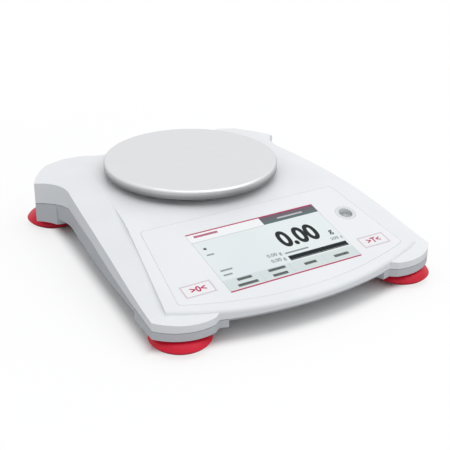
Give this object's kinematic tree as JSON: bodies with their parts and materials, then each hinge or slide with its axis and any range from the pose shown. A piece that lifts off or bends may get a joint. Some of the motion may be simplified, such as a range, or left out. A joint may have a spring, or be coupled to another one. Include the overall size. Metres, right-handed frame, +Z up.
{
  "type": "portable balance",
  "caption": "Portable electronic balance with a round steel pan, a sloped touch display, two keys, a circular level and adjustable corner feet.",
  "frame": {"origin": "on the bench, under the middle of the footprint", "axes": "+X to the right of someone who faces the display, +Y to the rear, +Z up"},
  "size_m": [0.2026, 0.23, 0.054],
  "materials": {
    "housing_white": "fine satin moulded white plastic",
    "housing_grey": "moulded plastic",
    "overlay": "printed polyester sheet",
    "glass": "touch glass",
    "screen": "liquid crystal module",
    "key": "smooth key cap",
    "steel": "brushed stainless steel",
    "zinc_steel": "zinc-plated steel",
    "aluminium": "milled aluminium",
    "black_plastic": "black moulded plastic",
    "dark_grey_plastic": "dark grey moulded plastic",
    "rubber": "black rubber",
    "red_plastic": "glossy red plastic",
    "board": "green circuit board",
    "brass": "turned brass",
    "battery": "plain dark battery jacket",
    "vial": "acrylic vial"
  },
  "bodies": {
    "housing": {"top_housing": "housing_white", "bottom_housing": "housing_white", "housing_screws": "zinc_steel", "display_overlay": "overlay", "touch_glass": "glass", "display_module": "screen", "display_bracket": "zinc_steel", "bracket_screws": "zinc_steel", "display_board": "board", "key_boards": "board", "key_switches": "black_plastic", "level_cup": "housing_grey", "level_vial": "vial", "load_cell": "aluminium", "base_plate": "aluminium", "base_screws": "zinc_steel", "cell_screws": "zinc_steel", "pan_hub": "aluminium", "overload_stop": "zinc_steel", "weigh_below_hook": "zinc_steel", "battery_holder": "black_plastic", "battery_cells": "battery", "battery_contacts": "zinc_steel", "main_board": "board", "board_screws": "zinc_steel", "power_inlet": "black_plastic", "data_port": "zinc_steel", "lock_switch": "black_plastic", "foot_inserts": "brass"},
    "pan_support": {"pan_support": "dark_grey_plastic", "pan_bumpers": "rubber"},
    "pan": {"weighing_pan": "steel"},
    "zero_key": {"zero_key": "key"},
    "tare_key": {"tare_key": "key"},
    "transport_lock": {"transport_lock": "red_plastic"},
    "hook_port_plug": {"hook_port_plug": "housing_grey"},
    "battery_cover": {"battery_cover": "housing_white"},
    "lock_slider": {"lock_slider": "dark_grey_plastic"},
    "pad_front_left": {"foot_pad_front_left": "rubber"},
    "wheel_front_left": {"foot_wheel_front_left": "red_plastic", "foot_stud_front_left": "zinc_steel"},
    "pad_front_right": {"foot_pad_front_right": "rubber"},
    "wheel_front_right": {"foot_wheel_front_right": "red_plastic", "foot_stud_front_right": "zinc_steel"},
    "pad_rear_left": {"foot_pad_rear_left": "rubber"},
    "wheel_rear_left": {"foot_wheel_rear_left": "red_plastic", "foot_stud_rear_left": "zinc_steel"},
    "pad_rear_right": {"foot_pad_rear_right": "rubber"},
    "wheel_rear_right": {"foot_wheel_rear_right": "red_plastic", "foot_stud_rear_right": "zinc_steel"}
  },
  "joints": [
    {"name": "support_lift", "type": "slide", "parent": "housing", "child": "pan_support", "axis": [0, 0, 1], "range_m": [0, 0.05]},
    {"name": "pan_lift", "type": "slide", "parent": "pan_support", "child": "pan", "axis": [0, 0, 1], "range_m": [0, 0.06]},
    {"name": "zero_key_press", "type": "slide", "parent": "housing", "child": "zero_key", "axis": [0, 0.2385, -0.9711], "range_m": [0, 0.0004], "stiffness_N_per_m": 800, "springref_m": -0.0003},
    {"name": "tare_key_press", "type": "slide", "parent": "housing", "child": "tare_key", "axis": [0, 0.2385, -0.9711], "range_m": [0, 0.0004], "stiffness_N_per_m": 800, "springref_m": -0.0003},
    {"name": "transport_lock_turn", "type": "hinge", "parent": "housing", "child": "transport_lock", "pos_m": [0.008, 0.037, 0.0148], "axis": [0, 0, 1], "range_deg": [0, 90]},
    {"name": "hook_plug_pull", "type": "slide", "parent": "housing", "child": "hook_port_plug", "axis": [0, 0, -1], "range_m": [0, 0.008]},
    {"name": "battery_cover_pull", "type": "slide", "parent": "housing", "child": "battery_cover", "axis": [0, 0, -1], "range_m": [0, 0.008]},
    {"name": "lock_slider_slide", "type": "slide", "parent": "housing", "child": "lock_slider", "axis": [1, 0, 0], "range_m": [0, 0.003]},
    {"name": "front_left_height", "type": "slide", "parent": "housing", "child": "pad_front_left", "axis": [0, 0, -1], "range_m": [-0.0008, 0.003]},
    {"name": "front_left_turn", "type": "hinge", "parent": "pad_front_left", "child": "wheel_front_left", "pos_m": [-0.0815, -0.095, 0.005], "axis": [0, 0, -1], "range_deg": [-230, 864]},
    {"name": "front_right_height", "type": "slide", "parent": "housing", "child": "pad_front_right", "axis": [0, 0, -1], "range_m": [-0.0008, 0.003]},
    {"name": "front_right_turn", "type": "hinge", "parent": "pad_front_right", "child": "wheel_front_right", "pos_m": [0.0815, -0.095, 0.005], "axis": [0, 0, -1], "range_deg": [-230, 864]},
    {"name": "rear_left_height", "type": "slide", "parent": "housing", "child": "pad_rear_left", "axis": [0, 0, -1], "range_m": [-0.0008, 0.003]},
    {"name": "rear_left_turn", "type": "hinge", "parent": "pad_rear_left", "child": "wheel_rear_left", "pos_m": [-0.0803, 0.0962, 0.005], "axis": [0, 0, -1], "range_deg": [-230, 864]},
    {"name": "rear_right_height", "type": "slide", "parent": "housing", "child": "pad_rear_right", "axis": [0, 0, -1], "range_m": [-0.0008, 0.003]},
    {"name": "rear_right_turn", "type": "hinge", "parent": "pad_rear_right", "child": "wheel_rear_right", "pos_m": [0.0803, 0.0962, 0.005], "axis": [0, 0, -1], "range_deg": [-230, 864]}
  ],
  "couplings": [
    {"joint": "front_left_height", "follows": "front_left_turn", "m_per_rad": 0.00019894},
    {"joint": "front_right_height", "follows": "front_right_turn", "m_per_rad": 0.00019894},
    {"joint": "rear_left_height", "follows": "rear_left_turn", "m_per_rad": 0.00019894},
    {"joint": "rear_right_height", "follows": "rear_right_turn", "m_per_rad": 0.00019894}
  ]
}
